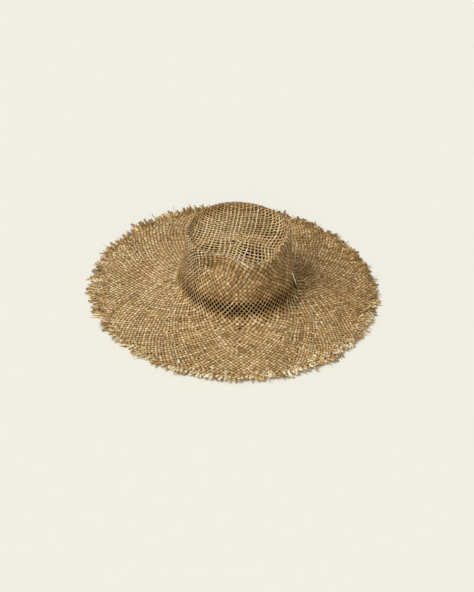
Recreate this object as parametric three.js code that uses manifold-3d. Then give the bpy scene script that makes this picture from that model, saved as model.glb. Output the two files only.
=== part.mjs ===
// Seagrass sun hat, in millimetres. The front is -Y, the hat stands on z = 0,
// and the origin is the middle of the brim's footprint.
// Angles round the hat start at the front and turn towards +X.

import * as THREE from 'three';
import { mergeVertices } from 'three/addons/utils/BufferGeometryUtils.js';
import Module from 'manifold-3d';

// Driving dimensions
const clearance = 0.3;
const aroundCrown = 64;
const aroundBrim = 80;

const crownCentreX = 7.4;
const crownCentreY = -1.1;
const crownLengthRatio = 1.118;
const crownWall = 2;
const rimRows = { first: 4, last: 8 };

// Outer profile of the crown from the middle of the top, over the rim, to the foot.
// tuck is how much further in the wall stands on the right, where it falls straighter.
const crownProfile = [
  { halfWidth: 0, height: 92, tuck: 0 },
  { halfWidth: 32, height: 91.4, tuck: 0 },
  { halfWidth: 58, height: 91.2, tuck: 0 },
  { halfWidth: 70, height: 92.3, tuck: 0 },
  { halfWidth: 74.6, height: 95, tuck: 0 },
  { halfWidth: 77.6, height: 99.4, tuck: 0 },
  { halfWidth: 80.6, height: 101.4, tuck: 0 },
  { halfWidth: 83.6, height: 99.2, tuck: 0 },
  { halfWidth: 85, height: 93.5, tuck: 0 },
  { halfWidth: 85.6, height: 84, tuck: 0.8 },
  { halfWidth: 86.8, height: 71, tuck: 2.2 },
  { halfWidth: 88.8, height: 57, tuck: 4 },
  { halfWidth: 91.6, height: 43, tuck: 5.6 },
  { halfWidth: 95, height: 30, tuck: 7.4 },
  { halfWidth: 98, height: 20, tuck: 8.4 },
  { halfWidth: 100, height: 14.2, tuck: 6 },
  { halfWidth: 102.4, height: 11.6, tuck: 2.6 },
  { halfWidth: 106, height: 10.6, tuck: 0 },
];
const rimHalfWidth = 80.6;
const rimTilt = 2.4;          // the rim is this much lower in front and higher behind
const rimLean = 1.6;          // and this much further to the right than the foot

// Pinches of the crown: where, how wide, how deep and how far the rim sinks there
const pinches = [
  { angle: 321, spread: 17, depth: 25, sink: 7 },
  { angle: 48, spread: 21, depth: 13.5, sink: 3 },
];
const pinchFoot = 42;
const pinchTop = 96;

const brimWall = 2.2;
const brimEdge = { halfWidth: 218, halfLength: 232, height: 4.1 };
const brimRows = [0, 0.08, 0.22, 0.45, 0.72, 1];
const brimFall = 1.5;
const edgeWave = { twice: 1.4, once: 0.55 };

const sweatbandWall = 1.2;
const sweatbandProfile = [
  { halfWidth: 98.3, ratio: 1.118, height: 8.8 },
  { halfWidth: 97.3, ratio: 1.118, height: 14.6 },
  { halfWidth: 92.6, ratio: 1.126, height: 22 },
  { halfWidth: 88.8, ratio: 1.14, height: 30 },
  { halfWidth: 84.2, ratio: 1.157, height: 38 },
];
// The ribbon is slack at the back and hangs inwards and down there
const slack = { angle: 147, spread: 34, inwards: 22, drop: 6.5 };

const fringeBacking = { width: 4.2, height: 3.4, edgeHeight: 2.4 };
const lockCount = 120;
const lock = { halfWidth: 6.4, halfHeight: 1.5, height: 1.5, root: 2.4, sides: 4 };
const lockReach = { least: 4.5, spread: 8 };
const lockLean = 0.5;
const scatterStep = { index: 12.9898, salt: 78.233, stretch: 43758.5453 };

const seagrass = new THREE.Color(0xb59667);
const frayedGrass = new THREE.Color(0xa98a5c);
const ribbonBlack = new THREE.Color(0x15130f);

const fullTurn = 2 * Math.PI;
const degrees = Math.PI / 180;
const sameVertex = 1e-3;

// The same smooth step, from 0 at low to 1 at high, shapes every fade
const fade = (value, low, high) => THREE.MathUtils.smoothstep(value, low, high);

// Shortest way between two angles, in degrees
function turnBetween(from, to) {
  return ((to - from + 540) % 360) - 180;
}

// A ring or cap from a profile of { x: half width, y: height }, listed outwards along
// its top or down its outside and back underneath. It is turned about the vertical
// and then moved point by point by place(halfWidth, angle, height).
function turnedSolid(profile, around, place) {
  const geometry = new THREE.LatheGeometry([...profile].reverse(), around).rotateX(Math.PI / 2);
  const position = geometry.attributes.position;
  for (let i = 0; i < position.count; i++) {
    const x = position.getX(i);
    const y = position.getY(i);
    const moved = place(Math.hypot(x, y), Math.atan2(x, -y), position.getZ(i));
    position.setXYZ(i, moved.x, moved.y, moved.z);
  }
  geometry.deleteAttribute('normal');
  geometry.deleteAttribute('uv');
  const whole = mergeVertices(geometry, sameVertex);
  whole.computeVertexNormals();
  return whole;
}

// Both faces of a wall whose outer face follows a profile: out along the outer
// face and back along the inner one
function wallProfile(outer, thickness) {
  const inner = outer.map((point, i) => {
    const before = outer[Math.max(i - 1, 0)];
    const after = outer[Math.min(i + 1, outer.length - 1)];
    const along = new THREE.Vector2().subVectors(after, before).normalize();
    const onAxis = point.x === 0;
    const inwards = onAxis ? new THREE.Vector2(0, -1) : new THREE.Vector2(along.y, -along.x);
    return new THREE.Vector2().copy(point).addScaledVector(inwards, thickness);
  });
  return [...outer, ...inner.reverse()];
}

// Crown

const crownCurve = new THREE.CatmullRomCurve3(
  crownProfile.map((row) => new THREE.Vector3(row.halfWidth, row.height, row.tuck)), false, 'centripetal');
const crownTop = Math.max(...crownProfile.map((row) => row.height));
const crownFoot = crownProfile[crownProfile.length - 1];

// The tightly bent rows at the rim get a station between each two of them
function crownOuter() {
  const last = crownProfile.length - 1;
  const points = [];
  for (let row = 0; row <= last; row++) {
    points.push(crownCurve.getPoint(row / last));
    if (row >= rimRows.first && row < rimRows.last) points.push(crownCurve.getPoint((row + 0.5) / last));
  }
  return points.map((point) => new THREE.Vector2(point.x, point.y));
}

// How far in the right side of the wall stands at a height
const wallRows = crownProfile.filter((row) => row.halfWidth > rimHalfWidth);

function tuckAt(height, angle) {
  const below = wallRows.findIndex((row) => row.height <= height);
  if (below <= 0) return 0;
  const low = wallRows[below];
  const high = wallRows[below - 1];
  const onRight = Math.pow((1 + Math.sin(angle)) / 2, 2);
  return THREE.MathUtils.mapLinear(height, low.height, high.height, low.tuck, high.tuck) * onRight;
}

function placeOnCrown(halfWidth, angle, height) {
  const share = Math.min(halfWidth / rimHalfWidth, 1);
  const high = fade(height, pinchFoot, pinchTop);
  let inwards = 0;
  let sink = rimTilt * Math.cos(angle) * high * share;
  for (const pinch of pinches) {
    const away = turnBetween(pinch.angle, angle / degrees) / pinch.spread;
    const strength = Math.exp(-0.5 * away * away) * high;
    inwards += pinch.depth * strength;
    sink += pinch.sink * strength * share * share;
  }
  const tuck = halfWidth > rimHalfWidth ? tuckAt(height, angle) : 0;
  const reach = halfWidth * (1 - inwards / rimHalfWidth) - tuck;
  const aside = THREE.MathUtils.mapLinear(height, crownFoot.height, crownTop, 0, rimLean);
  return {
    x: crownCentreX + aside + reach * Math.sin(angle),
    y: crownCentreY - reach * crownLengthRatio * Math.cos(angle),
    z: height - sink,
  };
}

function makeCrown() {
  const profile = wallProfile(crownOuter(), crownWall);
  return turnedSolid(profile, aroundCrown, placeOnCrown);
}

// Brim

const brimInner = crownFoot.halfWidth + clearance;
const brimInnerHeight = crownFoot.height;

function waveAt(angle) {
  return edgeWave.twice * Math.cos(2 * angle) + edgeWave.once * Math.cos(angle);
}

// share runs from 0 at the crown's foot to 1 at the woven edge, and a little past it
function placeOnBrim(share, angle, lift) {
  const halfWidth = THREE.MathUtils.lerp(brimInner, brimEdge.halfWidth, share);
  const halfLength = THREE.MathUtils.lerp(brimInner * crownLengthRatio, brimEdge.halfLength, share);
  const toCrown = 1 - share;
  const fall = Math.pow(Math.max(toCrown, 0), brimFall);
  const level = THREE.MathUtils.lerp(brimEdge.height, brimInnerHeight, fall);
  return {
    x: crownCentreX * toCrown + halfWidth * Math.sin(angle),
    y: crownCentreY * toCrown - halfLength * Math.cos(angle),
    z: level + waveAt(angle) * share * share + lift,
  };
}

function makeBrim() {
  const span = brimEdge.halfWidth - brimInner;
  const top = brimRows.map((share) => new THREE.Vector2(brimInner + share * span, 0));
  const under = brimRows.map((share) => new THREE.Vector2(brimInner + share * span, -brimWall)).reverse();
  const profile = [...top, ...under, top[0]];
  return turnedSolid(profile, aroundBrim, (radius, angle, lift) =>
    placeOnBrim((radius - brimInner) / span, angle, lift));
}

// Sweatband

function makeSweatband() {
  const outer = sweatbandProfile.map((row) => new THREE.Vector2(row.halfWidth, row.height)).reverse();
  const faces = wallProfile(outer, sweatbandWall);
  const heights = sweatbandProfile.map((row) => row.height);
  const ratioAt = (height) => {
    const above = heights.findIndex((level) => level >= height);
    const high = above < 0 ? heights.length - 1 : Math.max(above, 1);
    const low = high - 1;
    const share = (height - heights[low]) / (heights[high] - heights[low]);
    return THREE.MathUtils.lerp(sweatbandProfile[low].ratio, sweatbandProfile[high].ratio, share);
  };
  return turnedSolid([...faces, faces[0]], aroundCrown, (halfWidth, angle, height) => {
    const away = turnBetween(slack.angle, angle / degrees) / slack.spread;
    const loose = Math.exp(-0.5 * away * away);
    const reach = halfWidth - tuckAt(height, angle) - slack.inwards * loose;
    return {
      x: crownCentreX + reach * Math.sin(angle),
      y: crownCentreY - reach * ratioAt(height) * Math.cos(angle),
      z: height - slack.drop * loose,
    };
  });
}

// Fringe

const wasm = await Module();
wasm.setup();

function solidOf(geometry) {
  const bare = geometry.clone();
  for (const name of Object.keys(bare.attributes)) {
    if (name !== 'position') bare.deleteAttribute(name);
  }
  const merged = mergeVertices(bare, sameVertex);
  return new wasm.Manifold(new wasm.Mesh({
    numProp: 3,
    vertProperties: new Float32Array(merged.attributes.position.array),
    triVerts: new Uint32Array(merged.index.array),
  }));
}

function geometryOf(solid) {
  const mesh = solid.getMesh();
  const geometry = new THREE.BufferGeometry();
  geometry.setAttribute('position', new THREE.BufferAttribute(mesh.vertProperties, 3));
  geometry.setIndex(new THREE.BufferAttribute(mesh.triVerts, 1));
  geometry.computeVertexNormals();
  return geometry;
}

// A repeatable spread between 0 and 1 for the locks
function scatter(index, salt) {
  const value = Math.sin(index * scatterStep.index + salt * scatterStep.salt) * scatterStep.stretch;
  return value - Math.floor(value);
}

function makeFringeBacking() {
  const inside = brimEdge.halfWidth + clearance;
  const outside = inside + fringeBacking.width;
  const profile = [
    new THREE.Vector2(inside, fringeBacking.height),
    new THREE.Vector2(outside, fringeBacking.edgeHeight),
    new THREE.Vector2(outside, 0),
    new THREE.Vector2(inside, 0),
    new THREE.Vector2(inside, fringeBacking.height),
  ];
  const lengthening = brimEdge.halfLength - brimEdge.halfWidth;
  return turnedSolid(profile, aroundBrim, (radius, angle, height) => ({
    x: radius * Math.sin(angle),
    y: -(radius + lengthening) * Math.cos(angle),
    z: height * (1 + waveAt(angle) / fringeBacking.height),
  }));
}

function makeLock(index) {
  const angle = (index + 0.5) * fullTurn / lockCount;
  const reach = lockReach.least + lockReach.spread * scatter(index, 1);
  const lean = lockLean * (scatter(index, 2) - 0.5);
  const geometry = new THREE.ConeGeometry(lock.halfWidth, reach + lock.root, lock.sides);
  geometry.rotateY(Math.PI / 4);
  geometry.translate(0, (reach + lock.root) / 2 - lock.root, 0);
  geometry.scale(1, 1, lock.halfHeight / lock.halfWidth);
  geometry.rotateZ(lean);
  const radius = brimEdge.halfWidth + clearance + fringeBacking.width;
  const length = radius + brimEdge.halfLength - brimEdge.halfWidth;
  const outwards = Math.atan2(-length * Math.cos(angle), radius * Math.sin(angle));
  geometry.rotateZ(outwards - Math.PI / 2);
  geometry.translate(radius * Math.sin(angle), -length * Math.cos(angle), lock.height);
  return geometry;
}

function makeFringe() {
  let fringe = solidOf(makeFringeBacking());
  for (let i = 0; i < lockCount; i++) fringe = fringe.add(solidOf(makeLock(i)));
  return geometryOf(fringe);
}

// Assembly

function piece(name, geometry, colour, roughness) {
  const material = new THREE.MeshStandardMaterial({ color: colour, roughness, metalness: 0 });
  const mesh = new THREE.Mesh(geometry, material);
  mesh.name = name;
  return mesh;
}

const group = new THREE.Group();
group.add(piece('crown', makeCrown(), seagrass, 0.75));
group.add(piece('brim', makeBrim(), seagrass, 0.75));
group.add(piece('fringe', makeFringe(), frayedGrass, 0.8));
group.add(piece('sweatband', makeSweatband(), ribbonBlack, 0.9));

export default group;
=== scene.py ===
# Seagrass sun hat on a pale floor. Lengths in the settings are in millimetres unless they say otherwise.
# Angles round the hat are in degrees from its front and turn towards +X.
import math

import bpy
import numpy as np
from mathutils import Matrix, Vector


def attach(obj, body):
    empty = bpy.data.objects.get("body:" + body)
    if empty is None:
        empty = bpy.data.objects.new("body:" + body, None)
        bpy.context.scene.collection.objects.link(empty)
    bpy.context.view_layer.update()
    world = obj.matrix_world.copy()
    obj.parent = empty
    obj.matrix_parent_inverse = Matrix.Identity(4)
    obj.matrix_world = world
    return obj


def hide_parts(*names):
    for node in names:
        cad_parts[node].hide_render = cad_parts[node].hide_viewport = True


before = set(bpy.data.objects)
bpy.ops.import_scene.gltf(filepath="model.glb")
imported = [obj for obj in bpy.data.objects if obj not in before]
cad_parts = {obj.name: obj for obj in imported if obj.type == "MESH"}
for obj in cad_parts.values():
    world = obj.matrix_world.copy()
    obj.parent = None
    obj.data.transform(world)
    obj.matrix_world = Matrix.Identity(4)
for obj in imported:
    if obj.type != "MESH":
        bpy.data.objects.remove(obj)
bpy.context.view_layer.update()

millimetre = 0.001  # in the scene's unit
centimetre = 10  # in millimetres, for the patterns along a strand or a ribbon
fullTurn = 2 * math.pi
chance = np.random.default_rng(31)


def deselectAll():
    bpy.ops.object.select_all(action="DESELECT")


# Camera, floor and light

view = {
    "turn": -15.0,
    "elevation": 34.84,
    "distance": 1738.0,
    "aim": (7.4, -1.1, 3.0),
    "lens": 65.97,
    "sensor": 36.0,
    "roll": 0.8,
    "shift": (-0.00238, -0.01953),  # in shares of the picture's longer side
    "farthest": 60.0,  # in metres
}


def direction(turn, elevation):
    # Points away from the hat, to an angle round it and an angle above the floor
    turn, elevation = math.radians(turn), math.radians(elevation)
    return Vector((math.sin(turn) * math.cos(elevation), -math.cos(turn) * math.cos(elevation),
                   math.sin(elevation)))


def placeCamera(look):
    turn, roll = math.radians(look["turn"]), math.radians(look["roll"])
    back = direction(look["turn"], look["elevation"])
    right = Vector((math.cos(turn), math.sin(turn), 0))
    up = back.cross(right)
    rolledRight = right * math.cos(roll) + up * math.sin(roll)
    rolledUp = up * math.cos(roll) - right * math.sin(roll)
    place = (Vector(look["aim"]) + back * look["distance"]) * millimetre
    deselectAll()
    bpy.ops.object.camera_add(location=place)
    camera = bpy.context.object
    camera.name = "photoCamera"
    camera.rotation_euler = Matrix((rolledRight, rolledUp, back)).transposed().to_euler()
    camera.data.sensor_width = look["sensor"]
    camera.data.lens = look["lens"]
    camera.data.shift_x, camera.data.shift_y = look["shift"]
    camera.data.clip_end = look["farthest"]
    bpy.context.scene.camera = camera


placeCamera(view)
print("camera placed")


class Wire:
    # One output of a material's node, which sums and products can be made of
    def __init__(self, tree, socket=None):
        self.tree = tree
        self.socket = socket

    def node(self, kind, settings, inputs, output=0):
        made = self.tree.nodes.new(kind)
        for name, value in settings.items():
            if name == "stops":
                fillRamp(made.color_ramp, value)
            else:
                setattr(made, name, value)
        for name, value in inputs.items():
            if isinstance(value, Wire):
                self.tree.links.new(value.socket, made.inputs[name])
            else:
                made.inputs[name].default_value = value
        return Wire(self.tree, made.outputs[output])

    def math(self, operation, *others):
        return self.node("ShaderNodeMath", {"operation": operation}, dict(enumerate((self, *others))))

    def __add__(self, other):
        return self.math("ADD", other)

    def __sub__(self, other):
        return self.math("SUBTRACT", other)

    def __rsub__(self, other):
        return self.math("MULTIPLY_ADD", -1.0, other)

    def __mul__(self, other):
        return self.math("MULTIPLY", other)

    __radd__, __rmul__ = __add__, __mul__

    def between(self, low, high):
        return self.node("ShaderNodeMapRange", {"interpolation_type": "SMOOTHSTEP"},
                         {"Value": self, "From Min": low, "From Max": high})

    def colour(self, stops):
        return self.node("ShaderNodeValToRGB", {"stops": stops}, {"Fac": self})

    def mixed(self, first, second):
        return self.node("ShaderNodeMix", {"data_type": "RGBA", "blend_type": "MIX", "clamp_result": True},
                         {0: self, 6: first, 7: second}, 2)

    def noise(self, scale, detail=2.0, roughness=0.5):
        return self.node("ShaderNodeTexNoise", {"noise_dimensions": "3D"},
                         {"Vector": self, "Scale": scale, "Detail": detail, "Roughness": roughness})

    def relief(self, strength, depth):
        return self.node("ShaderNodeBump", {}, {"Height": self, "Strength": strength, "Distance": depth})


def fillRamp(ramp, stops):
    while len(ramp.elements) < len(stops):
        ramp.elements.new(1.0)
    for element, (position, colour) in zip(ramp.elements, stops):
        element.position = position
        element.color = (*colour, 1)


def newMaterial(name):
    material = bpy.data.materials.new(name)
    material.use_nodes = True
    shader = material.node_tree.nodes["Principled BSDF"]
    return material, shader, Wire(material.node_tree)


def feed(shader, socketName, wire):
    wire.tree.links.new(wire.socket, shader.inputs[socketName])


floorLook = {
    "size": 24.0,  # in metres
    "colour": (0.849, 0.857, 0.810),
    "grain": 0.006,  # how far the colour varies
    "grainScale": 40.0,
    "grainRange": (0.3, 0.7),
    "roughness": 0.9,
}


def makeFloor(look):
    deselectAll()
    bpy.ops.mesh.primitive_plane_add(size=look["size"])
    floor = bpy.context.object
    floor.name = "floor"
    material, shader, wire = newMaterial("palePaper")
    place = wire.node("ShaderNodeTexCoord", {}, {}, "Object")
    light = [channel + look["grain"] for channel in look["colour"]]
    dark = [channel - look["grain"] for channel in look["colour"]]
    grain = place.noise(look["grainScale"], 3)
    feed(shader, "Base Color", grain.colour(list(zip(look["grainRange"], (dark, light)))))
    shader.inputs["Roughness"].default_value = look["roughness"]
    shader.inputs["Specular IOR Level"].default_value = 0.0
    floor.data.materials.append(material)


studio = {
    "lamps": [{"name": "keyLight", "turn": -92.0, "elevation": 56.0, "power": 2.06, "spread": 28.0,
               "colour": (1.0, 0.985, 0.955)},
              {"name": "fillLight", "turn": -10.0, "elevation": 14.0, "power": 0.55, "spread": 70.0,
               "colour": (1.0, 0.97, 0.92)}],
    "lampDistance": 2.0,  # in metres
    "surround": (1.0, 0.945, 0.865),
    "surroundPower": 0.45,
}


def makeLight(look):
    for lamp in look["lamps"]:
        towards = direction(lamp["turn"], lamp["elevation"])
        deselectAll()
        bpy.ops.object.light_add(type="SUN", location=towards * look["lampDistance"])
        light = bpy.context.object
        light.name = lamp["name"]
        light.rotation_euler = towards.to_track_quat("Z", "Y").to_euler()
        light.data.energy = lamp["power"]
        light.data.angle = math.radians(lamp["spread"])
        light.data.color = lamp["colour"]
    world = bpy.data.worlds.new("softRoom")
    bpy.context.scene.world = world
    world.use_nodes = True
    background = world.node_tree.nodes["Background"]
    background.inputs["Color"].default_value = (*look["surround"], 1)
    background.inputs["Strength"].default_value = look["surroundPower"]
    bpy.context.scene.view_settings.view_transform = "Standard"


makeFloor(floorLook)
makeLight(studio)
print("floor and light made")


# The hat's surface, halfway through the straw

crown = {
    "centre": (7.4, -1.1),
    "lengthRatio": 1.118,  # length for the width
    "wall": 2.0,
    "rim": 80.6,  # half width at the top of the rim
    "rimTilt": 2.4,  # how far the rim sinks in front and rises behind
    "rimLean": 1.6,  # how far the rim leans towards +X
    # half width, height and tuck on the right, from the middle of the top to the foot
    "profile": [(0, 92, 0), (32, 91.4, 0), (58, 91.2, 0), (70, 92.3, 0), (74.6, 95, 0), (77.6, 99.4, 0),
                (80.6, 101.4, 0), (83.6, 99.2, 0), (85, 93.5, 0), (85.6, 84, 0.8), (86.8, 71, 2.2),
                (88.8, 57, 4), (91.6, 43, 5.6), (95, 30, 7.4), (98, 20, 8.4), (100, 14.2, 6),
                (102.4, 11.6, 2.6), (106, 10.6, 0)],
    "crest": 6,  # the row of the profile at the top of the rim
    "steps": 24,  # from each row to the next
    "pinches": [{"angle": 321, "spread": 17, "depth": 25, "sink": 7},
                {"angle": 48, "spread": 21, "depth": 13.5, "sink": 3}],
    "pinchFoot": 42,  # the heights where a pinch begins and where it is full
    "pinchTop": 96,
}
brim = {
    "wall": 2.2,
    "gap": 0.3,  # round the crown's foot
    "halfWidth": 218.0,
    "halfLength": 232.0,
    "edgeHeight": 4.1,
    "fall": 1.5,  # how much of its fall lies near the crown
    "waveTwice": 1.4,
    "waveOnce": 0.55,
}


def smoothStep(value, low, high):
    share = np.clip((value - low) / (high - low), 0, 1)
    return share * share * (3 - 2 * share)


def plateau(value, stops):
    # Rises from 0 to 1 between the first two stops and falls again between the last two
    return smoothStep(value, *stops[:2]) * (1 - smoothStep(value, *stops[2:]))


def bell(angle, middle, spread):
    # 1 at one angle round the hat, and less and less away from it
    away = (np.degrees(angle) - middle + 180) % 360 - 180
    return np.exp(-0.5 * (away / spread) ** 2)


def readTable(rows, place, column=1):
    # What a column of a table says at a place, which the first column gives
    return np.interp(place, [row[0] for row in rows], [row[column] for row in rows])


def unit(vectors):
    return vectors / np.linalg.norm(vectors, axis=-1)[..., None]


def lengthAlong(points):
    # The length of a line up to each of its points
    return np.concatenate([[0], np.cumsum(np.linalg.norm(np.diff(points, axis=0), axis=1))])


def smoothedProfile(rows, steps):
    # A curve through the rows that bends most where they are closest
    rows = np.array(rows, float)
    rows = np.vstack([2 * rows[0] - rows[1], rows, 2 * rows[-1] - rows[-2]])
    curve = []
    for a, b, c, d in zip(rows, rows[1:], rows[2:], rows[3:]):
        spans = [math.sqrt(np.linalg.norm(end - start)) for start, end in ((a, b), (b, c), (c, d))]
        leave = ((b - a) / spans[0] - (c - a) / (spans[0] + spans[1]) + (c - b) / spans[1]) * spans[1]
        reach = ((c - b) / spans[1] - (d - b) / (spans[1] + spans[2]) + (d - c) / spans[2]) * spans[1]
        t = np.linspace(0, 1, steps, endpoint=False)[:, None]
        curve.append((2 * t ** 3 - 3 * t ** 2 + 1) * b + (t ** 3 - 2 * t ** 2 + t) * leave
                     + (3 * t ** 2 - 2 * t ** 3) * c + (t ** 3 - t ** 2) * reach)
    return np.vstack(curve + [rows[-2:-1]])


outerFace = smoothedProfile(crown["profile"], crown["steps"])[:, :2]
alongFace = unit(np.gradient(outerFace, axis=0))
intoWall = np.stack([alongFace[:, 1], -alongFace[:, 0]], axis=1)
intoWall[0] = (0, -1)
middleFace = outerFace + intoWall * crown["wall"] / 2
reachAlong = lengthAlong(middleFace)
crownReach = reachAlong[-1]
crestStep = crown["crest"] * crown["steps"]
crestReach = reachAlong[crestStep]
wallRows = np.array([row for row in crown["profile"] if row[0] > crown["rim"]])[::-1]
innerEdge = crown["profile"][-1][0] + brim["gap"]
brimReach = brim["halfWidth"] - innerEdge
edgeReach = crownReach + brimReach


def tuckAt(height, angle):
    # How much closer to the middle the wall stands on the right
    onRight = ((1 + np.sin(angle)) / 2) ** 2
    return np.interp(height, wallRows[:, 1], wallRows[:, 2]) * onRight


def crownPoint(reach, angle):
    halfWidth = np.interp(reach, reachAlong, middleFace[:, 0])
    height = np.interp(reach, reachAlong, middleFace[:, 1])
    share = np.minimum(halfWidth / crown["rim"], 1)
    high = smoothStep(height, crown["pinchFoot"], crown["pinchTop"])
    inwards = np.zeros_like(reach)
    sink = crown["rimTilt"] * np.cos(angle) * high * share
    for pinch in crown["pinches"]:
        strength = bell(angle, pinch["angle"], pinch["spread"]) * high
        inwards = inwards + pinch["depth"] * strength
        sink = sink + pinch["sink"] * strength * share ** 2
    tuck = tuckAt(height, angle) * (reach > crestReach)
    out = halfWidth * (1 - inwards / crown["rim"]) - tuck
    foot, top = crown["profile"][-1][1], crown["profile"][crown["crest"]][1]
    aside = crown["rimLean"] * (height - foot) / (top - foot)
    x = crown["centre"][0] + aside + out * np.sin(angle)
    y = crown["centre"][1] - out * crown["lengthRatio"] * np.cos(angle)
    return np.stack([x, y, height - sink], axis=-1)


def brimPoint(share, angle):
    halfWidth = innerEdge + share * brimReach
    innerLength = innerEdge * crown["lengthRatio"]
    halfLength = innerLength + share * (brim["halfLength"] - innerLength)
    towards = 1 - share
    fall = np.maximum(towards, 0) ** brim["fall"]
    innerHeight = crown["profile"][-1][1]
    level = brim["edgeHeight"] + (innerHeight - brim["edgeHeight"]) * fall
    wave = brim["waveTwice"] * np.cos(2 * angle) + brim["waveOnce"] * np.cos(angle)
    x = crown["centre"][0] * towards + halfWidth * np.sin(angle)
    y = crown["centre"][1] * towards - halfLength * np.cos(angle)
    return np.stack([x, y, level + wave * share ** 2 - brim["wall"] / 2], axis=-1)


def hatPoint(reach, angle):
    onBrim = (reach > crownReach)[..., None]
    outside = brimPoint(np.maximum(reach - crownReach, 0) / brimReach, angle)
    return np.where(onBrim, outside, crownPoint(np.minimum(reach, crownReach), angle))


def hatNormal(reach, angle):
    step, turn = 1.5, 0.02  # millimetres outwards and radians round the hat
    along = hatPoint(reach + step, angle) - hatPoint(np.maximum(reach - step, 0), angle)
    around = hatPoint(reach, angle + turn) - hatPoint(reach, angle - turn)
    return unit(np.cross(along, around))


# Where the strands of the weave cross. Each ring of crossings has one strand that runs on
# clockwise and one that runs on anticlockwise through each crossing.

weave = {
    # angles from the grid's front where each ring takes in a new strand, and the ring where that begins
    "sources": [(82, 1), (180, 1), (264, 1), (326, 3)],
    "gridTurn": -15.0,
    "rimRings": 23,  # the ring that reaches the rim at the back
    "lean": 9.0,  # how many more rings there are inside the rim behind than in front
    "rings": 75,  # out to the edge of the brim
    # from ring to ring, by the share of the crown's reach
    "ringSpacing": [(0, 4.6), (0.49, 3.6), (0.75, 3.6), (0.84, 4.3), (1, 4.2), (1.06, 3.5), (2.2, 3.5)],
    "spacingSteps": 400,  # in the sum of that table
    "rimBlur": 150,  # how many times the ring at the rim is evened
    "brimBlur": 20,  # and each ring outside it
    "wallPull": 1.6,  # how much harder the crossings pull together on the wall than on the top
    "brimSpacing": 6.6,  # between the crossings in one ring
    "newBefore": 4.0,  # how far before the crown's foot new strands begin to come in for that
    "newStrands": 5,  # at most, in one ring
    "wideFirst": 4,  # the power of a gap's width that its chance goes by
    "newShift": 0.3,  # how far their places vary
    "unevenness": 0.36,  # of the crossings' places
    "leastReach": 30,  # nearer the middle it turns them no further
}


def nextRing(ring, openings, strandCount):
    angles, reaches, clockwise, anticlockwise = [], [], [], []
    count = len(ring["angle"])
    for k in range(count):
        after = (k + 1) % count
        start = ring["angle"][k]
        gap = (ring["angle"][after] - start) % fullTurn
        reach = (ring["reach"][k] + ring["reach"][after]) / 2
        if k in openings:  # a new strand comes in here with both its ends
            angles += [start + gap / 3, start + gap * 2 / 3]
            reaches += [reach, reach]
            anticlockwise += [ring["anticlockwise"][k], strandCount]
            clockwise += [strandCount, ring["clockwise"][after]]
            strandCount += 1
        else:
            angles.append(start + gap / 2)
            reaches.append(reach)
            anticlockwise.append(ring["anticlockwise"][k])
            clockwise.append(ring["clockwise"][after])
    made = {"angle": np.array(angles), "reach": np.array(reaches),
            "clockwise": clockwise, "anticlockwise": anticlockwise}
    return made, strandCount


def evened(ring, times):
    # Moves each crossing along its ring towards the middle of the two beside it. Gives the ring's length.
    for _ in range(times):
        turns = np.unwrap(ring["angle"])
        turns = np.append(turns, turns[0] + fullTurn)
        reaches = np.append(ring["reach"], ring["reach"][0])
        length = lengthAlong(hatPoint(reaches, turns))
        total = length[-1]
        beside = (np.append(length[-2] - total, length[:-2]) + length[1:]) / 2
        moved = (length[:-1] + beside) / 2
        wide = np.concatenate([length[:-1] - total, length])
        ring["angle"] = np.interp(moved, wide, np.concatenate([turns[:-1] - fullTurn, turns]))
        ring["reach"] = np.interp(moved, wide, np.concatenate([reaches[:-1], reaches]))
    return total


ringReaches = np.linspace(0, edgeReach, weave["spacingSteps"])
ringSteps = readTable(weave["ringSpacing"], ringReaches / crownReach)
ringNumbers = np.cumsum((ringReaches[1] - ringReaches[0]) / ringSteps)


def reachAfter(reach, share):
    # Part of the way to the edge, in rings of their own spacing
    number = np.interp(reach, ringReaches, ringNumbers)
    return np.interp(number + (ringNumbers[-1] - number) * share, ringNumbers, ringReaches)


def spreadGaps(added, ring):
    # Picks gaps all round the ring, the wide ones first
    angle = np.append(ring["angle"], ring["angle"][0])
    spots = hatPoint(np.append(ring["reach"], ring["reach"][0]), angle)
    weight = np.linalg.norm(np.diff(spots, axis=0), axis=1) ** weave["wideFirst"]
    share = np.cumsum(weight) / np.sum(weight)
    start = chance.random()
    places = np.arange(added) + chance.uniform(-weave["newShift"], weave["newShift"], added)
    wanted = (start + places / max(added, 1)) % 1
    return set(np.searchsorted(share, wanted).tolist())


def strandStops(rings, strandCount):
    # The crossings of each strand from its middle to its two ends, and whether it passes over there
    paths = [([], []) for _ in range(strandCount)]
    first = 0
    for number, ring in enumerate(rings, 1):
        for k, (one, other) in enumerate(zip(ring["clockwise"], ring["anticlockwise"])):
            paths[one][0].append((first + k, number % 2 == 1))
            paths[other][1].append((first + k, number % 2 == 0))
        first += len(ring["clockwise"])
    return paths


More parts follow.
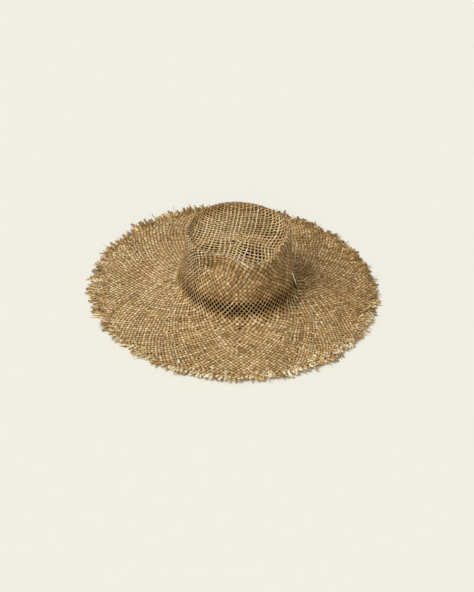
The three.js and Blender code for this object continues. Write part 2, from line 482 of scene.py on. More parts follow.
def settle(rings, strandCount):
    # Spreads the crossings inside the last ring so that each lies amid the four beside it
    counts = [len(ring["angle"]) for ring in rings]
    total = sum(counts)
    pull = np.zeros((total, total))
    reach, angle = (np.concatenate([ring[key] for ring in rings]) for key in ("reach", "angle"))
    firsts = np.cumsum([0] + counts)
    wallRings = weave["rimRings"] - weave["lean"] / 2 * (1 + np.cos(angle))
    number = np.repeat(np.arange(1, len(rings) + 1), counts)
    onWall = np.where(number > wallRings, weave["wallPull"], 1.0)
    for inner, outer in strandStops(rings, strandCount):
        stops = [stop[0] for stop in inner[::-1] + outer]
        for one, other in zip(stops, stops[1:]):
            strength = math.sqrt(onWall[one] * onWall[other])
            pull[one, other] += strength
            pull[other, one] += strength
    plan = np.stack([reach * np.sin(angle), -reach * np.cos(angle)], axis=1)
    free = total - counts[-1]
    stiffness = np.diag(pull.sum(axis=1)) - pull
    plan[:free] = np.linalg.solve(stiffness[:free, :free], -stiffness[:free, free:] @ plan[free:])
    for ring, start, end in zip(rings[:-1], firsts, firsts[1:]):
        x, y = plan[start:end].T
        ring["reach"] = np.hypot(x, y)
        ring["angle"] = np.arctan2(x, -y)


def planWeave():
    ring = {"angle": fullTurn * np.arange(3) / 3, "reach": np.full(3, crestReach),
            "clockwise": [0, 1, 2], "anticlockwise": [2, 0, 1]}
    rings, strandCount = [ring], 3
    axes = {turn: k for k, (turn, begins) in enumerate(weave["sources"]) if begins == 1}
    for size in range(2, weave["rimRings"] + 1):
        for turn, begins in weave["sources"]:
            if begins == size:
                low = max(turns for turns in axes if turns < turn)
                axes[turn] = axes[low] + round((turn - low) / (360 + min(axes) - low) * (size - 1))
        openings = set(axes.values())
        ring, strandCount = nextRing(ring, openings, strandCount)
        axes = {turn: k + sum(other < k for other in openings) for turn, k in axes.items()}
        rings.append(ring)
    count = len(ring["angle"])
    stops = sorted((k + 0.5, math.radians(turn)) for turn, k in axes.items())
    places, turns = zip(*([(k - count, turn - fullTurn) for k, turn in stops] + stops
                          + [(k + count, turn + fullTurn) for k, turn in stops]))
    fromFront = np.interp(np.arange(count), places, turns)
    below = weave["lean"] / 2 * (1 + np.cos(fromFront))
    ring["angle"] = fromFront + math.radians(weave["gridTurn"])
    ring["reach"] = reachAfter(crestReach, below / (weave["rings"] - weave["rimRings"] + below))
    ringLength = evened(ring, weave["rimBlur"])
    settle(rings, strandCount)
    for size in range(weave["rimRings"] + 1, weave["rings"] + 1):
        atFoot = ring["reach"].mean() > crownReach - weave["newBefore"]
        wanted = ringLength / weave["brimSpacing"] if atFoot else 0
        added = int(min(max(wanted - len(ring["angle"]), 0), weave["newStrands"]))
        ring, strandCount = nextRing(ring, spreadGaps(added, ring), strandCount)
        ringLength = evened(ring, weave["brimBlur"])
        ring["reach"] = reachAfter(ring["reach"], 1 / (weave["rings"] - size + 1))
        rings.append(ring)
    return rings, strandCount


rings, strandCount = planWeave()
edgeRing = len(rings)
print("weave planned:", strandCount, "strands,", len(rings[-1]["angle"]), "crossings round the edge")


# Strands as flattened tubes. Shares are of the crown's reach, from the middle of its top to its foot.

strand = {
    "sides": 6,
    "flatness": 0.27,  # thickness for its width
    "thickness": (0.5, 1.2),  # the least and the most
    "lift": 0.52,  # how far it passes over or under, for its thickness
    # share, the part of the room between strands that one fills, and its greatest width
    "widths": [(0, 0.6, 3.1), (0.38, 0.56, 3.0), (0.46, 0.64, 3.6), (0.51, 1.06, 6.0), (0.785, 1.06, 6.0),
               (0.8, 0.45, 3.0), (0.812, 0.24, 1.7), (0.932, 0.25, 1.7), (0.954, 0.85, 4.8),
               (0.97, 1.06, 6.2), (1.18, 1.04, 7.0), (1.32, 0.98, 7.0), (2.2, 0.97, 7.0)],
    "widthBlur": 2,  # how many times a width is evened with those beside it
    "widthSpread": 0.07,  # how far the width varies between strands
    "widthWander": 0.1,  # and along them
    "widthRun": 8,  # in sections
    # how much thinner the strands of the wall are, by the angle round the hat
    "wallGaps": [(0, 0), (205, 0), (232, 0.5), (302, 0.5), (318, 0), (360, 0)],
    "wallShares": (0.44, 0.48, 0.76, 0.8),
    "frontShift": 0.06,  # how much sooner the weave closes over the rim in front
    "frontAngle": 12,
    "frontShares": (0.5, 0.6),  # where that fades
    # how strongly painted shade darkens the strands' undersides and edges, and how far their tone varies at
    # crossings, by the share
    "shadeAndSpeckle": [(0, 0.6), (0.44, 0.6), (0.52, 0.9), (0.785, 0.9), (0.81, 0.35), (0.94, 0.35), (0.975, 1),
                  (2.2, 1)],
    "tones": (0.44, 0.17, 0.24),  # how far the tone varies between strands, along them and at crossings
    "toneRun": 9,  # in sections
    # how much of a strand's own tone shows, by the share
    "ownTones": [(0.45, 1), (0.52, 0.5), (0.75, 0.5), (0.8, 1)],
    # tone by the share, partly painted light: it lightens the brim most near the crown's foot, against the
    # crown's shadow there
    "reachToneAndLight": [(0, 0.34), (0.45, 0.32), (0.53, -0.22), (0.78, -0.22), (0.82, -0.07), (0.94, -0.07),
                   (0.98, 0.1), (1.15, 0.1), (1.3, 0.05), (2.2, 0.05)],
    # painted light and shade by the angle round the hat, darker on the right, away from the key light
    "paintedSideLight": [(0, -0.02), (45, -0.14), (90, -0.27), (140, -0.16), (190, -0.02), (240, 0.03),
                  (300, 0.02), (340, -0.02), (360, -0.03)],
    # painted light on the open left wall, which faces the key light
    "openWallLight": 0.6,  # added where the wall is open
    # painted shade along the rim behind, where its inner face is in shade
    "rimShade": -0.45,  # added along the rim behind
    "rimShares": (0.36, 0.42, 0.46, 0.5),
    "rimAngle": 195,
    "palest": 1.3,
    "patternStep": 31.0,  # how far on in the pattern each strand begins
    "pastFoot": 1.0,  # how far the crown's weave runs onto the brim
    "brimSplit": 0.56,  # the share of the brim's width where its second piece begins
}


def crossingTable():
    points, normals, ringOf, reachOf = [], [], [], []
    for number, ring in enumerate(rings, 1):
        count = len(ring["angle"])
        shift = chance.normal(0, weave["unevenness"], count)
        angle = ring["angle"] + shift / np.maximum(ring["reach"], weave["leastReach"])
        reach = ring["reach"] + chance.normal(0, weave["unevenness"], count)
        points.append(hatPoint(reach, angle))
        normals.append(hatNormal(reach, angle))
        ringOf += [number] * count
        reachOf.append(reach)
    return np.vstack(points), np.vstack(normals), np.array(ringOf), np.concatenate(reachOf)


crossings, crossingNormals, ringOf, reachOf = crossingTable()


def strandHops(paths):
    # How far each of the two strands through a crossing goes to the next one
    hops = np.zeros((2, len(crossings), 3))
    for inner, outer in paths:
        stops = [(spot, 0) for spot, over in inner[::-1]] + [(spot, 1) for spot, over in outer]
        index = np.array([spot for spot, family in stops])
        family = np.array([family for spot, family in stops])
        hops[family, index] = np.gradient(crossings[index], axis=0)
    return hops


paths = strandStops(rings, strandCount)
hops = strandHops(paths)


def sideOf(points):
    # The angle round the hat
    return np.degrees(np.arctan2(points[..., 0], -points[..., 1])) % 360


def turnedTo(side, angle):
    # 1 at an angle round the hat, down to 0 a quarter turn away
    return np.clip(np.cos(np.radians(side - angle)), 0, 1)


def openWall(share, side):
    return plateau(share, strand["wallShares"]) * readTable(strand["wallGaps"], side)


def backRim(share, side):
    return plateau(share, strand["rimShares"]) * turnedTo(side, strand["rimAngle"])


def strandWidths(index, family):
    along, across = unit(hops[family, index]), hops[1 - family, index]
    room = np.linalg.norm(across - along * (along * across).sum(axis=1)[:, None], axis=1)
    share, side = reachOf[index] / crownReach, sideOf(crossings[index])
    gaps = openWall(share, side)
    sooner = strand["frontShift"] * turnedTo(side, strand["frontAngle"])
    share = share + sooner * (1 - smoothStep(share, *strand["frontShares"]))
    filling = readTable(strand["widths"], share) * (1 - gaps)
    width = np.minimum(room * filling, readTable(strand["widths"], share, 2))
    for _ in range(strand["widthBlur"]):
        ends = np.concatenate([width[:1], width, width[-1:]])
        width = ends[:-2] * 0.25 + width * 0.5 + ends[2:] * 0.25
    return width


def withMiddles(values):
    # From values at a strand's crossings to those at all its sections, which also lie halfway between them
    count = 2 * len(values) - 1
    return np.interp(np.arange(count), np.arange(0, count, 2), values)


def drift(count, run):
    # Chance values that change slowly along a strand, with a new one after each run of sections
    knots = np.arange(0, count + run - 1, run)
    return np.interp(np.arange(count), knots, chance.normal(0, 1, len(knots)))


def strandTone(reach, side):
    share, count = reach / crownReach, 2 * len(reach) - 1
    between, wander, speckle = strand["tones"]
    own = readTable(strand["ownTones"], np.repeat(share, 2)[:count])
    tone = 0.5 + between * (chance.random() - 0.5) * own
    tone += wander * drift(count, strand["toneRun"])
    speckles = speckle * chance.normal(0, 1, len(reach)) * readTable(strand["shadeAndSpeckle"], share)
    tone += withMiddles(speckles)
    # Painted light and shade by the side of the hat, painted light on the open left wall and painted shade
    # along the rim behind
    tone += withMiddles(readTable(strand["paintedSideLight"], side) + strand["openWallLight"] * openWall(share, side)
                        + strand["rimShade"] * backRim(share, side))
    # tone by the share, partly painted light on the brim near the crown's foot
    tone += readTable(strand["reachToneAndLight"], withMiddles(reach) / crownReach)
    return np.clip(tone, 0, strand["palest"])


def laidStrand(path):
    inner, outer = path
    stops = inner[::-1] + outer
    index = np.array([stop[0] for stop in stops])
    family = np.repeat([0, 1], [len(inner), len(outer)])
    over = np.array([1.0 if stop[1] else -1.0 for stop in stops])
    count = 2 * len(index) - 1
    spots, facing, reach = crossings[index], crossingNormals[index], reachOf[index]
    widths = strandWidths(index, family)
    lift = strand["lift"] * np.clip(widths * strand["flatness"], *strand["thickness"])
    centre, normal = np.empty((count, 3)), np.empty((count, 3))
    centre[::2] = spots + facing * (over * lift)[:, None]
    centre[1::2] = (spots[:-1] + spots[1:]) / 2
    normal[::2] = facing
    normal[1::2] = facing[:-1] + facing[1:]
    tone = strandTone(reach, sideOf(spots))
    reach = withMiddles(reach)
    width = withMiddles(widths) * (1 + strand["widthWander"] * drift(count, strand["widthRun"]))
    width = width * (1 + strand["widthSpread"] * chance.normal())
    # The strength of each section's painted shade follows the share
    return {"centre": centre, "normal": normal, "width": width, "reach": reach, "tone": tone,
            "close": readTable(strand["shadeAndSpeckle"], reach / crownReach),
            "raised": withMiddles((over + 1) / 2), "hue": chance.random()}


strands = [laidStrand(path) for path in paths]


def buildTubes(name, runs, sides):
    # One mesh of closed tubes. A run has its sections, their tints and where it starts in the pattern.
    vertices, tints, faces, spots = [], [], [], []
    corner = np.arange(sides)
    turn = corner * fullTurn / sides
    first = 0
    for run in runs:
        centre = run["centre"]
        count = len(centre)
        tangent = unit(np.gradient(centre, axis=0))
        side = unit(np.cross(tangent, run["normal"]))
        face = np.cross(side, tangent)
        ring = (centre[:, None] + side[:, None] * np.cos(turn)[:, None] * run["width"][:, None, None] / 2
                + face[:, None] * np.sin(turn)[:, None] * run["thickness"][:, None, None] / 2)
        vertices.append(ring.reshape(-1, 3))
        tint = np.stack([run["tone"], np.full(count, run["hue"]), run["close"], run["raised"]], axis=1)
        tints.append(np.repeat(tint, sides, axis=0))
        base = first + np.arange(count - 1)[:, None] * sides
        here, there = base + corner, base + (corner + 1) % sides
        faces.append(np.stack([here, here + sides, there + sides, there], axis=-1).reshape(-1, 4))
        length = run["start"] + lengthAlong(centre)
        low, high = length[:-1, None], length[1:, None]
        across = np.stack([corner, corner, corner + 1, corner + 1], axis=-1) / sides
        along = np.stack([low, high, high, low], axis=-1) / centimetre
        spots.append(np.stack(np.broadcast_arrays(across, along), axis=-1).reshape(-1, 2))
        first += count * sides
    firsts = np.cumsum([0] + [len(run["centre"]) * sides for run in runs])
    caps = [list(range(start, start + sides)) for start in firsts[:-1]]
    caps += [list(range(end - 1, end - sides - 1, -1)) for end in firsts[1:]]
    mesh = bpy.data.meshes.new(name)
    mesh.from_pydata((np.vstack(vertices) * millimetre).tolist(), [], np.vstack(faces).tolist() + caps)
    layer = mesh.uv_layers.new(name="strand")
    uv = np.zeros((len(mesh.loops), 2))
    placed = np.vstack(spots)
    uv[:len(placed)] = placed
    layer.data.foreach_set("uv", uv.astype(np.float32).ravel())
    tint = mesh.attributes.new("tint", "FLOAT_COLOR", "POINT")
    tint.data.foreach_set("color", np.vstack(tints).astype(np.float32).ravel())
    mesh.shade_smooth()
    piece = bpy.data.objects.new(name, mesh)
    bpy.context.scene.collection.objects.link(piece)
    print(name, "has", len(mesh.loops) - 2 * len(mesh.polygons), "triangles in", len(runs), "strands")
    return piece


def runsBetween(low, high):
    # The stretches of each strand that lie between two reaches
    runs = []
    for number, one in enumerate(strands):
        reach = one["reach"]
        inside = (reach >= low) & (reach < high)
        edges = np.flatnonzero(np.diff(np.concatenate([[0], inside.astype(int), [0]])))
        for start, end in edges.reshape(-1, 2):
            if start > 0 and reach[start - 1] < low:  # joins the stretch inside it
                start -= 1
            if end < len(reach) and reach[end] < low:
                end += 1
            if end - start < 2:
                continue
            keys = ("centre", "normal", "width", "raised", "close", "tone")
            part = {key: one[key][start:end] for key in keys}
            part.update(thickness=np.clip(part["width"] * strand["flatness"], *strand["thickness"]),
                        start=number * strand["patternStep"], hue=one["hue"])
            runs.append(part)
    return runs


# Dry seagrass, streaked along each strand

seagrassLook = {
    "stops": [(0.0, (0.17, 0.087, 0.024)), (0.28, (0.40, 0.235, 0.078)), (0.52, (0.63, 0.405, 0.165)),
              (0.76, (0.83, 0.595, 0.295)), (1.0, (0.96, 0.78, 0.48))],
    "warm": (0.50, 0.25, 0.085),
    "grey": (0.36, 0.335, 0.20),
    "warmShare": 0.24,
    "greyShare": 0.34,
    "roughness": (0.42, 0.72),
    # Painted shade: the next three give the dark colour a strand fades to, and how far it fades where it
    # passes under another and along its rounded edges
    "gap": (0.045, 0.024, 0.009),  # the colour deep between strands
    "underShade": 0.8,  # how dark a strand is where it passes under
    "edge": 0.74,  # and along its edges
}
# Frayed ends: weaker painted shade under the strands and along their edges
frayedLook = dict(seagrassLook, warm=(0.52, 0.24, 0.065), grey=(0.33, 0.30, 0.17), greyShare=0.3,
                  stops=[(0.0, (0.14, 0.07, 0.02)), (0.28, (0.36, 0.205, 0.065)),
                         (0.52, (0.60, 0.385, 0.145)), (0.76, (0.86, 0.64, 0.32)),
                         (1.0, (1.0, 0.92, 0.68))],
                  roughness=(0.38, 0.7), underShade=0.35, edge=0.2)
grain = {
    # how fine a pattern is across and along a strand, and how far apart two strands lie in it
    "streaks": (7.0, 1.1, 400.0),
    "blotches": (1.0, 1.0, 900.0),
    "fibres": (26.0, 0.8, 170.0),
    "patches": 26.0,  # the pattern over the whole hat
    "parts": {"tone": 0.62, "streaks": 0.5, "blotches": 0.6, "patches": 0.2},  # of the shade
    "darker": 0.42,
    "tinge": {"hue": 0.7, "pattern": 0.5, "patches": 0.8},  # of what makes a strand warm or grey
    "tingeRange": (1.55, 1.75),
    "warmth": 0.6,  # at most
    "greyness": 0.5,
    "raisedRange": (0.1, 0.9),
    "fibreRange": (0.2, 0.8),
    "streakRelief": 0.6,
    "relief": (0.5, 0.0002),  # strength, and depth in metres
    "shine": 0.35,
}


def seagrassMaterial(name, look):
    material, shader, wire = newMaterial(name)
    place = wire.node("ShaderNodeTexCoord", {}, {}, "Object")
    spot = wire.node("ShaderNodeUVMap", {"uv_map": "strand"}, {})
    across, along = (wire.node("ShaderNodeSeparateXYZ", {}, {"Vector": spot}, axis) for axis in "XY")
    tint, raised = (wire.node("ShaderNodeAttribute", {"attribute_name": "tint"}, {}, part)
                    for part in ("Color", "Alpha"))
    tone, hue, close = (wire.node("ShaderNodeSeparateColor", {}, {"Color": tint}, channel)
                        for channel in ("Red", "Green", "Blue"))

    def alongStrand(acrossScale, alongScale, apart):
        return wire.node("ShaderNodeCombineXYZ", {},
                         {"X": across * acrossScale, "Y": along * alongScale, "Z": hue * apart})

    streaks = alongStrand(*grain["streaks"]).noise(1.0, 3, 0.6)
    blotches = alongStrand(*grain["blotches"]).noise(1.0, 2)
    fibres = alongStrand(*grain["fibres"]).noise(1.0, 2, 0.6)
    patches = place.noise(grain["patches"], 2)
    part = grain["parts"]
    shade = tone * part["tone"] + streaks * part["streaks"] + blotches * part["blotches"]
    shade = shade + patches * part["patches"] - grain["darker"]
    straw = shade.colour(look["stops"])

    tinge = grain["tinge"]
    begins, full = grain["tingeRange"]
    warm = hue * tinge["hue"] + blotches * tinge["pattern"] + patches * tinge["patches"]
    grey = (1 - hue) * tinge["hue"] + streaks * tinge["pattern"] + (1 - patches) * tinge["patches"]
    warmth = warm.between(begins - look["warmShare"], full - look["warmShare"]) * grain["warmth"]
    greyness = grey.between(begins - look["greyShare"], full - look["greyShare"]) * grain["greyness"]
    straw = warmth.mixed(straw, (*look["warm"], 1))
    straw = greyness.mixed(straw, (*look["grey"], 1))

    # Painted shade: the straw fades to the dark colour along a strand's edges and where it passes under
    # another, as far as each section's shade strength goes
    edge = (across * (2 * fullTurn)).math("COSINE") * 0.5 + 0.5  # 1 along both edges of a strand
    under = 1 - raised.between(*grain["raisedRange"])
    unshaded = 1 - (under * look["underShade"] + edge * look["edge"]) * close
    feed(shader, "Base Color", unshaded.mixed((*look["gap"], 1), straw))
    smooth, rough = look["roughness"]
    feed(shader, "Roughness", fibres.between(*grain["fibreRange"]) * (rough - smooth) + smooth)
    height = fibres + streaks * grain["streakRelief"]
    feed(shader, "Normal", height.relief(*grain["relief"]))
    shader.inputs["Specular IOR Level"].default_value = grain["shine"]
    return material


seagrass = seagrassMaterial("driedSeagrass", seagrassLook)
frayed = seagrassMaterial("frayedSeagrass", frayedLook)


def addPiece(piece, material, slot, *nodes):
    piece.data.materials.append(material)
    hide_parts(*nodes)
    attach(piece, "root")


brimStart = crownReach + strand["pastFoot"]
brimSplit = crownReach + brimReach * strand["brimSplit"]
for name, node, low, high in (("crown_weave", "crown", -math.inf, brimStart),
                              ("brim_weave_inner", "brim", brimStart, brimSplit),
                              ("brim_weave_outer", "brim", brimSplit, math.inf)):
    addPiece(buildTubes(name, runsBetween(low, high), strand["sides"]), seagrass, "seagrass", node)
print("weave made")


# Frayed ends of the strands round the brim. Tables go by the angle round the hat.

fringe = {
    "sides": 4,
    "steps": 5,
    # width, thickness, turn and share of the length, for each of the ends that one strand frays into
    "perEnd": [(5.1, 1.0, 0, 1.0), (3.9, 0.8, 24, 0.85), (1.7, 0.6, -26, 1.05)],
    "lengths": [(0, 10.5), (60, 10.5), (100, 12), (150, 13.5), (190, 15.5), (235, 14.5), (280, 12),
                (330, 10), (360, 10.5)],
    "lengthSpread": 0.3,
    "lengthLimits": (0.35, 1.4),
    "lift": [(0, 0), (90, 0), (150, 18), (190, 26), (235, 20), (280, 4), (360, 0)],
    "locks": 150,  # how many locks the ends gather in
    "gather": 55,  # how far the outer ends of a lock turn to its middle
    "lockShape": (1.15, 0.6),  # length in the middle of a lock, and how fast it falls off
    "lockLengths": (0.75, 1.25),
    "lockTones": 0.16,
    "tones": [(0, 0.24), (40, 0.1), (75, -0.4), (140, -0.45), (190, -0.2), (260, -0.18), (320, 0.08),
              (360, 0.24)],
    # how much paler the tip is than the foot
    "tipTones": [(0, 0.22), (50, 0.15), (80, -0.2), (200, -0.15), (250, 0.1), (300, 0.22), (360, 0.22)],
    "tipSpread": 0.3,
    # how much of the range of hues the ends have, which starts at grey
    "hues": [(0, 1), (50, 1), (75, 0.3), (200, 0.4), (240, 1), (360, 1)],
    "darkShare": 0.42,
    "darkTones": (-0.1, 0.25),
    "paleTones": (0.4, 1.25),
    "strandTone": 0.2,  # how much of its strand's tone an end keeps
    "palest": 1.4,
    "straighten": 0.6,  # how much of the weave's slant an end loses
    "turnPace": 1.6,  # how soon it has turned
    "spreadTurn": 19,
    "curl": (-38, 50),
    "droop": 0.3,  # the part of the curl that its foot leans the other way
    "twist": 0.8,  # in radians
    "widthSpread": (0.8, 1.15),
    "taper": 0.4,
    "footRaised": 0.35,  # how far its foot lies on top
    "patternReach": 900,
    "floorGap": 0.35,
    "overlap": 3,  # how far back on its strand an end may begin
    "shift": 0.3,
    "tufts": 900,  # short ends that stand up on the last rings of the brim
    "tuftRings": 6,
    "tuftSize": (4.0, 0.7, 0, 0.7),
    "tuftCurl": (20, 75),
    "tuftLift": 0.8,
    "tuftShift": (1.6, 1.6, 0.2),
    "tuftTurn": 40,
}
lockLengths = chance.uniform(*fringe["lockLengths"], fringe["locks"])
lockTones = chance.normal(0, fringe["lockTones"], fringe["locks"])


def turnedAside(outwards, turn):
    # A level direction, turned anticlockwise seen from above
    return outwards * math.cos(turn) + np.array([-outwards[1], outwards[0], 0.0]) * math.sin(turn)


def frayedEnd(start, along, normal, size, curl, tone):
    width, thickness, turn, share = size
    outwards = np.array([start[0] / brim["halfWidth"] ** 2, start[1] / brim["halfLength"] ** 2, 0.0])
    outwards /= np.linalg.norm(outwards)
    sideways = np.array([-outwards[1], outwards[0], 0.0])
    place = sideOf(start)
    lock, inLock = divmod(place * fringe["locks"] / 360, 1)
    lock, fromMiddle = int(lock), inLock - 0.5
    slant = math.atan2(along @ sideways, along @ outwards)
    endTurn = turn + chance.normal(0, fringe["spreadTurn"])
    endSlant = slant * (1 - fringe["straighten"]) + math.radians(endTurn)
    endSlant -= math.radians(fringe["gather"]) * fromMiddle
    rise = math.radians(chance.uniform(*curl) + readTable(fringe["lift"], place))
    longest, fallOff = fringe["lockShape"]
    length = readTable(fringe["lengths"], place) * share * lockLengths[lock]
    length *= longest - fallOff * abs(fromMiddle)
    length *= np.clip(1 + chance.normal(0, fringe["lengthSpread"]), *fringe["lengthLimits"])
    steps = fringe["steps"]
    centre = [start]
    for k in range(steps):
        t = (k + 0.5) / steps
        heading = slant + (endSlant - slant) * min(fringe["turnPace"] * t, 1)
        climb = rise * (t - fringe["droop"])
        step = turnedAside(outwards, heading) * math.cos(climb) + np.array([0, 0, math.sin(climb)])
        centre.append(centre[-1] + step * length / steps)
    centre = np.array(centre)
    t = np.linspace(0, 1, steps + 1)
    twist = chance.normal(0, fringe["twist"]) * t
    halfHeight = np.hypot(thickness * np.cos(twist), width * np.sin(twist)) / 2
    centre[:, 2] = np.maximum(centre[:, 2], fringe["floorGap"] + halfHeight)
    facing = normal + np.cross(normal, outwards) * np.sin(twist)[:, None]
    tone += readTable(fringe["tones"], place) + lockTones[lock]
    tipTone = chance.normal(readTable(fringe["tipTones"], place), fringe["tipSpread"])
    # Painted shade fades from the foot of each end, beside the weave, to none at its tip
    return {"centre": centre, "normal": facing,
            "width": width * chance.uniform(*fringe["widthSpread"]) * (1 - fringe["taper"] * t ** 3),
            "thickness": thickness * (1 - fringe["taper"] * t),
            "start": chance.uniform(0, fringe["patternReach"]),
            "tone": np.clip(tone + tipTone * t, 0, fringe["palest"]),
            "hue": chance.random() * readTable(fringe["hues"], place), "close": 1 - t,
            "raised": fringe["footRaised"] + (1 - fringe["footRaised"]) * t ** 0.5}


def strandEnds():
    ends = []
    for one in strands:
        for tip, before in ((0, 1), (-1, -2)):
            start = one["centre"][tip]
            along = start - one["centre"][before]
            along[2] = 0
            along /= np.linalg.norm(along)
            for size in fringe["perEnd"]:
                dark = chance.random() < fringe["darkShare"]
                tone = fringe["strandTone"] * one["tone"][tip]
                tone += chance.uniform(*fringe["darkTones" if dark else "paleTones"])
                foot = start - along * chance.uniform(0, fringe["overlap"])
                foot += chance.normal(0, fringe["shift"], 3)
                ends.append(frayedEnd(foot, along, one["normal"][tip], size, fringe["curl"], tone))
    return ends


def tufts():
    ends = []
    outer = np.flatnonzero(ringOf > edgeRing - fringe["tuftRings"])
    nearness = (ringOf[outer] - edgeRing + fringe["tuftRings"]).astype(float)
    for spot in chance.choice(outer, fringe["tufts"], p=nearness / nearness.sum()):
        normal = crossingNormals[spot]
        start = crossings[spot] + normal * fringe["tuftLift"] + chance.normal(0, 1, 3) * fringe["tuftShift"]
        outwards = np.array([start[0], start[1], 0.0]) / math.hypot(start[0], start[1])
        along = turnedAside(outwards, math.radians(chance.normal(0, fringe["tuftTurn"])))
        tone = chance.random()
        ends.append(frayedEnd(start, along, normal, fringe["tuftSize"], fringe["tuftCurl"], tone))
    return ends


fringePiece = buildTubes("frayed_edge", strandEnds() + tufts(), fringe["sides"])
addPiece(fringePiece, frayed, "frayed_seagrass", "fringe")
print("frayed edge made")


# Sweatband: black ribbon inside the foot of the crown

ribbon = {
    "around": 192,
    # height, half width and length ratio from the bottom edge to the top edge
    "rows": [(8.8, 98.3, 1.118), (11.4, 97.9, 1.118), (14.6, 97.3, 1.118), (18.2, 95.1, 1.122),
             (22, 92.6, 1.126), (26, 90.7, 1.132), (30, 88.8, 1.14), (34, 86.5, 1.148), (38, 84.2, 1.157)],
    "thickness": 0.8,
    # where it hangs in and down at the back
    "slack": {"angle": 147, "spread": 34, "inwards": 22, "drop": 6.5},
    "sharpest": 40,  # the greatest angle that is shaded smooth
    "colour": (0.006, 0.005, 0.0042),
    "thread": (0.016, 0.0135, 0.0115),
    "rib": 1.1,
    "ribShare": 0.6,
    "lint": 30.0,
    "lintShare": 0.5,
    "darker": 0.1,
    "roughness": (0.68, 0.88),
    "relief": (0.6, 0.0003),  # strength, and depth in metres
    "lintRelief": 0.3,
    "shine": 0.15,
}


def shapeRibbon(band):
    # Brings the rows of the plain cylinder to their place inside the crown
    rows, slack = ribbon["rows"], ribbon["slack"]
    for vertex in band.data.vertices:
        angle = math.atan2(vertex.co.x, -vertex.co.y)
        height = vertex.co.z / millimetre
        loose = bell(angle, slack["angle"], slack["spread"])
        reach = readTable(rows, height) - tuckAt(height, angle) - slack["inwards"] * loose
        ratio = readTable(rows, height, 2)
        vertex.co.x = (crown["centre"][0] + reach * math.sin(angle)) * millimetre
        vertex.co.y = (crown["centre"][1] - reach * ratio * math.cos(angle)) * millimetre
        vertex.co.z = (height - slack["drop"] * loose) * millimetre


def unrollRibbon(band):
    # A UV map in centimetres, along the ribbon and up it
    layer = band.data.uv_layers.new(name="ribbon")
    around = fullTurn * np.mean([row[1] * (1 + row[2]) / 2 for row in ribbon["rows"]])
    for face in band.data.polygons:
        spots = [band.data.vertices[band.data.loops[loop].vertex_index].co for loop in face.loop_indices]
        turns = [(math.atan2(spot.x, -spot.y) / fullTurn) % 1 for spot in spots]
        crosses = max(turns) - min(turns) > 0.5  # from the last column to the first
        for loop, spot, turn in zip(face.loop_indices, spots, turns):
            turn += 1 if crosses and turn < 0.5 else 0
            layer.data[loop].uv = (turn * around / centimetre, spot.z / millimetre / centimetre)


def makeRibbon():
    rows = ribbon["rows"]
    deselectAll()
    bpy.ops.mesh.primitive_circle_add(vertices=ribbon["around"], radius=rows[0][1] * millimetre,
                                      location=(0, 0, rows[0][0] * millimetre))
    band = bpy.context.object
    band.name = "sweatband_ribbon"
    bpy.ops.object.mode_set(mode="EDIT")
    bpy.ops.mesh.select_all(action="SELECT")
    for low, high in zip(rows, rows[1:]):
        rise = (high[0] - low[0]) * millimetre
        bpy.ops.mesh.extrude_region_move(TRANSFORM_OT_translate={"value": (0, 0, rise)})
    bpy.ops.mesh.select_all(action="SELECT")
    bpy.ops.mesh.normals_make_consistent(inside=False)
    bpy.ops.object.mode_set(mode="OBJECT")
    bpy.ops.object.transform_apply(location=True)
    shapeRibbon(band)
    unrollRibbon(band)
    wall = band.modifiers.new("wall", "SOLIDIFY")
    wall.thickness = ribbon["thickness"] * millimetre
    wall.offset = -1
    bpy.ops.object.modifier_apply(modifier="wall")
    bpy.ops.object.shade_smooth_by_angle(angle=math.radians(ribbon["sharpest"]))
    return band


def grosgrain():
    material, shader, wire = newMaterial("blackGrosgrain")
    spot = wire.node("ShaderNodeUVMap", {"uv_map": "ribbon"}, {})
    length = wire.node("ShaderNodeSeparateXYZ", {}, {"Vector": spot}, "X")
    ribs = (length * (fullTurn * centimetre / ribbon["rib"])).math("SINE") * 0.5 + 0.5
    lint = spot.noise(ribbon["lint"], 3)
    mix = ribs * ribbon["ribShare"] + lint * ribbon["lintShare"] - ribbon["darker"]
    feed(shader, "Base Color", mix.mixed((*ribbon["colour"], 1), (*ribbon["thread"], 1)))
    smooth, rough = ribbon["roughness"]
    feed(shader, "Roughness", lint * (rough - smooth) + smooth)
    height = ribs + lint * ribbon["lintRelief"]
    feed(shader, "Normal", height.relief(*ribbon["relief"]))
    shader.inputs["Specular IOR Level"].default_value = ribbon["shine"]
    return material


band = makeRibbon()
addPiece(band, grosgrain(), "ribbon", "sweatband")
print("sweatband made")
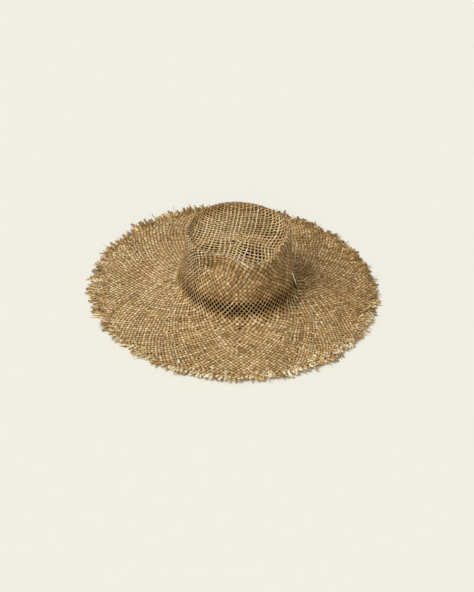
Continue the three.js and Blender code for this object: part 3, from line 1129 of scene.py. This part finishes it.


# A pale strand that has come loose on the right of the crown, and beside its foot a short run painted
# wholly dark, as the shade in the slot it left

looseStrand = {
    "sides": 8,
    "steps": 19,
    "blur": 4,  # how many times its line is evened
    # height, angle and how far it stands off the weave
    "path": [(49.5, 57.0, -0.6), (46.5, 57.1, 0.9), (41.0, 57.4, 1.9), (35.0, 58.6, 2.6), (29.0, 60.2, 2.9),
             (22.5, 61.8, 2.6), (20.0, 62.3, 2.0)],
    "width": 3.4,
    # a run painted wholly in the dark shade colour, for the shade in the slot beside the strand's foot
    "shadowRun": [(28.0, 58.6, 1.6), (22.0, 59.2, 2.2), (15.5, 60.2, 1.6)],
    "shadowRunWidth": 3.8,
    "thickness": 1.2,
    "taper": 0.5,
    "hue": 0.5,
    "patternStart": 5.0,
}
# Its painted shade is full and near black, so the run beside the strand's foot shows only shade
paleLook = dict(seagrassLook, underShade=1.0, gap=(0.016, 0.01, 0.005),
                stops=[(0.0, (0.80, 0.64, 0.38)), (0.5, (0.96, 0.82, 0.54)), (1.0, (1.0, 0.92, 0.68))])


def looseRun(path, width, shade):
    heights, reaches = middleFace[crestStep:, 1][::-1], reachAlong[crestStep:][::-1]
    path = np.array(path)
    fine = np.linspace(0, len(path) - 1, looseStrand["steps"])
    path = np.stack([np.interp(fine, np.arange(len(path)), path[:, k]) for k in range(3)], axis=1)
    reach = np.interp(path[:, 0], heights, reaches)
    angle = np.radians(path[:, 1])
    normal = hatNormal(reach, angle)
    centre = hatPoint(reach, angle) + normal * path[:, 2:]
    for _ in range(looseStrand["blur"]):
        centre[1:-1] = centre[1:-1] * 0.5 + (centre[:-2] + centre[2:]) * 0.25
    count = len(centre)
    taper = 1 - looseStrand["taper"] * np.abs(np.linspace(-1, 1, count)) ** 3
    return {"centre": centre, "normal": normal, "width": width * taper,
            "thickness": np.full(count, looseStrand["thickness"]), "start": looseStrand["patternStart"],
            "tone": np.ones(count), "hue": looseStrand["hue"], "close": np.full(count, shade),
            "raised": np.full(count, 1 - shade)}


paleStraw = seagrassMaterial("paleStraw", paleLook)
# the second run is all painted shade
looseRuns = [looseRun(looseStrand["path"], looseStrand["width"], 0.0),
             looseRun(looseStrand["shadowRun"], looseStrand["shadowRunWidth"], 1.0)]
loosePiece = buildTubes("loose_strand", looseRuns, looseStrand["sides"])
addPiece(loosePiece, paleStraw, "seagrass", "crown")
print("loose strand made")
